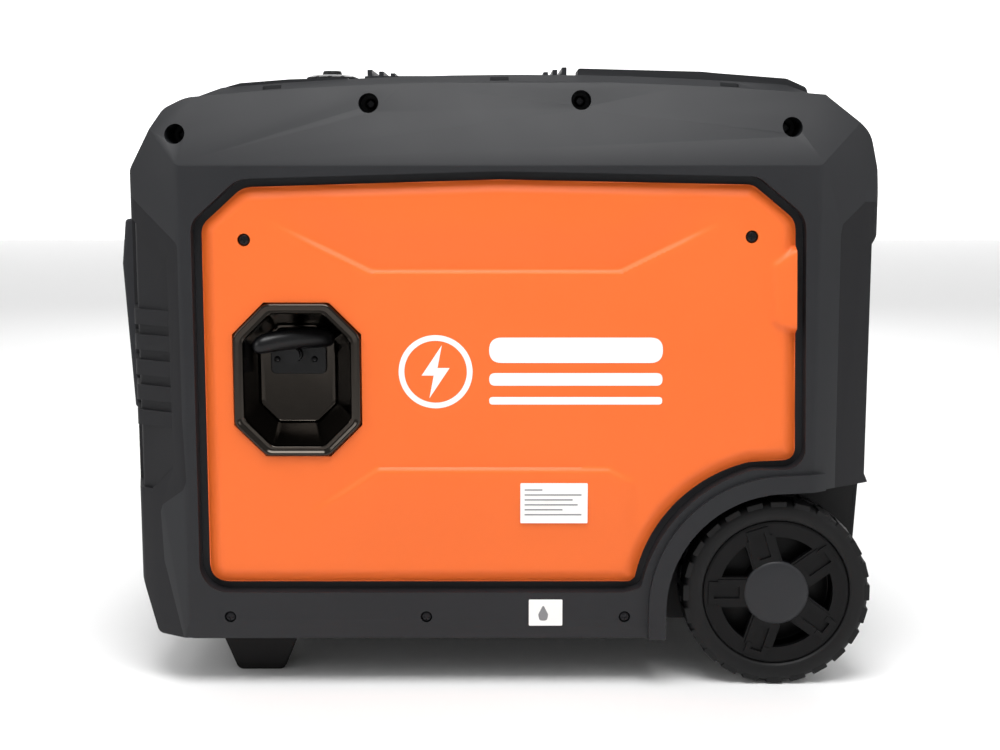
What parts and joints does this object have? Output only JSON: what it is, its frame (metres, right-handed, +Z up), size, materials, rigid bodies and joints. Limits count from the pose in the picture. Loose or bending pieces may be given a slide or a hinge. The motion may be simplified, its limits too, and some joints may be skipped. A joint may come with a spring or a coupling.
{
  "type": "portable generator",
  "caption": "Suitcase-style inverter generator with side covers, recoil starter cup, rear wheels, telescopic pull handle and hooded control panel.",
  "frame": {"origin": "on the ground, at the middle of the bounding box", "axes": "+X towards the wheel end, -Y the recoil starter side, +Z up"},
  "size_m": [0.612, 0.432, 0.499],
  "materials": {
    "casing": "fine moulded texture",
    "fascia": "fine moulded texture",
    "cover": "satin moulded",
    "bright": "bright black nickel",
    "black_plastic": "moulded",
    "button": "moulded",
    "screws": "black zinc",
    "rope": "braided",
    "foot_rubber": "moulded rubber",
    "steel": "plain steel",
    "tread": "moulded tread",
    "rim": "moulded",
    "tank": "black enamel",
    "panel": "printed panel",
    "terminals": "plated brass",
    "lens": "clear plastic",
    "cast": "die cast",
    "iron": "machined"
  },
  "bodies": {
    "generator": {"air_cleaner": "black_plastic", "base_tray": "fascia", "battery": "black_plastic", "carburettor": "cast", "control_panel": "panel", "control_panel_hood": "fascia", "display_window": "lens", "engine_block": "cast", "exhaust_grille": "steel", "filler_neck": "tank", "front_fascia": "fascia", "front_feet": "foot_rubber", "fuel_tank": "tank", "handle_outer_tubes": "steel", "household_outlets": "black_plastic", "inverter_module": "cast", "locking_outlets": "black_plastic", "muffler": "steel", "panel_terminals": "terminals", "rear_fascia": "fascia", "recoil_bezel": "bright", "recoil_guide_plate": "black_plastic", "recoil_housing": "black_plastic", "rubber_mounts": "foot_rubber", "shell_screws": "screws", "side_shell_left": "casing", "side_shell_right": "casing", "spark_plug": "iron", "stator": "iron", "tool_tray": "black_plastic", "top_cover": "casing", "valve_cover": "cast", "wheel_axle": "steel", "wheel_wells": "fascia"},
    "service_cover_left": {"service_cover_left": "cover", "cover_screws_left": "screws"},
    "service_cover_right": {"service_cover_right": "cover", "cover_screws_right": "screws"},
    "recoil_grip": {"recoil_grip": "black_plastic", "recoil_rope": "rope"},
    "recoil_reel": {"recoil_reel": "black_plastic"},
    "crank_train": {"crankshaft": "steel", "flywheel_rotor": "iron"},
    "wheel_left": {"tyre_left": "tread", "rim_left": "rim", "hub_cap_left": "rim"},
    "wheel_right": {"tyre_right": "tread", "rim_right": "rim", "hub_cap_right": "rim"},
    "pull_handle": {"handle_inner_tubes": "steel", "handle_grip": "black_plastic"},
    "release_button": {"handle_release_button": "black_plastic"},
    "fuel_cap": {"fuel_cap": "black_plastic"},
    "vent_knob": {"fuel_cap_vent_knob": "black_plastic"},
    "top_hatch": {"top_hatch": "fascia"},
    "engine_dial": {"engine_dial": "black_plastic"},
    "start_button": {"start_button": "button"},
    "eco_rocker": {"eco_rocker": "black_plastic"},
    "breaker_button": {"breaker_button": "black_plastic"},
    "outlet_cover": {"outlet_cover": "lens"}
  },
  "joints": [
    {"name": "left_cover_lift_off", "type": "slide", "parent": "generator", "child": "service_cover_left", "axis": [0, -1, 0], "range_m": [0, 0.15]},
    {"name": "right_cover_lift_off", "type": "slide", "parent": "generator", "child": "service_cover_right", "axis": [0, 1, 0], "range_m": [0, 0.15]},
    {"name": "recoil_reel_turn", "type": "hinge", "parent": "generator", "child": "recoil_reel", "pos_m": [-0.03, -0.12, 0.202], "axis": [0, -1, 0], "range_deg": [0, 480], "stiffness_Nm_per_rad": 0.05},
    {"name": "recoil_pull", "type": "slide", "parent": "generator", "child": "recoil_grip", "axis": [0, -1, 0], "range_m": [0, 0.49]},
    {"name": "crank_turn", "type": "hinge", "parent": "generator", "child": "crank_train", "pos_m": [-0.03, 0, 0.202], "axis": [0, 1, 0], "continuous": true},
    {"name": "left_wheel_turn", "type": "hinge", "parent": "generator", "child": "wheel_left", "pos_m": [0.23, -0.185, 0.076], "axis": [0, 1, 0], "continuous": true},
    {"name": "right_wheel_turn", "type": "hinge", "parent": "generator", "child": "wheel_right", "pos_m": [0.23, 0.185, 0.076], "axis": [0, 1, 0], "continuous": true},
    {"name": "handle_pull_up", "type": "slide", "parent": "generator", "child": "pull_handle", "axis": [0, 0, 1], "range_m": [0, 0.27]},
    {"name": "release_button_press", "type": "slide", "parent": "pull_handle", "child": "release_button", "axis": [0, 0, -1], "range_m": [0, 0.003], "stiffness_N_per_m": 400},
    {"name": "fuel_cap_lift", "type": "slide", "parent": "generator", "child": "fuel_cap", "axis": [0, 0, 1], "range_m": [0, 0.06]},
    {"name": "vent_knob_turn", "type": "hinge", "parent": "fuel_cap", "child": "vent_knob", "pos_m": [-0.142, 0, 0.49], "axis": [0, 0, 1], "range_deg": [0, 90]},
    {"name": "top_hatch_swing", "type": "hinge", "parent": "generator", "child": "top_hatch", "pos_m": [-0.108, 0, 0.4875], "axis": [0, -1, 0], "range_deg": [0, 75]},
    {"name": "engine_dial_turn", "type": "hinge", "parent": "generator", "child": "engine_dial", "pos_m": [-0.29, -0.082, 0.322], "axis": [-1, 0, 0], "range_deg": [0, 120]},
    {"name": "start_button_press", "type": "slide", "parent": "generator", "child": "start_button", "axis": [1, 0, 0], "range_m": [0, 0.003], "stiffness_N_per_m": 400},
    {"name": "eco_rocker_tilt", "type": "hinge", "parent": "generator", "child": "eco_rocker", "pos_m": [-0.2905, -0.021, 0.2985], "axis": [0, 1, 0], "range_deg": [0, 10]},
    {"name": "breaker_reset", "type": "slide", "parent": "generator", "child": "breaker_button", "axis": [1, 0, 0], "range_m": [0, 0.002]},
    {"name": "outlet_cover_swing", "type": "hinge", "parent": "generator", "child": "outlet_cover", "pos_m": [-0.294, 0.069, 0.2855], "axis": [0, 1, 0], "range_deg": [0, 85]}
  ],
  "couplings": [
    {"joint": "recoil_pull", "follows": "recoil_reel_turn", "m_per_rad": 0.058}
  ]
}
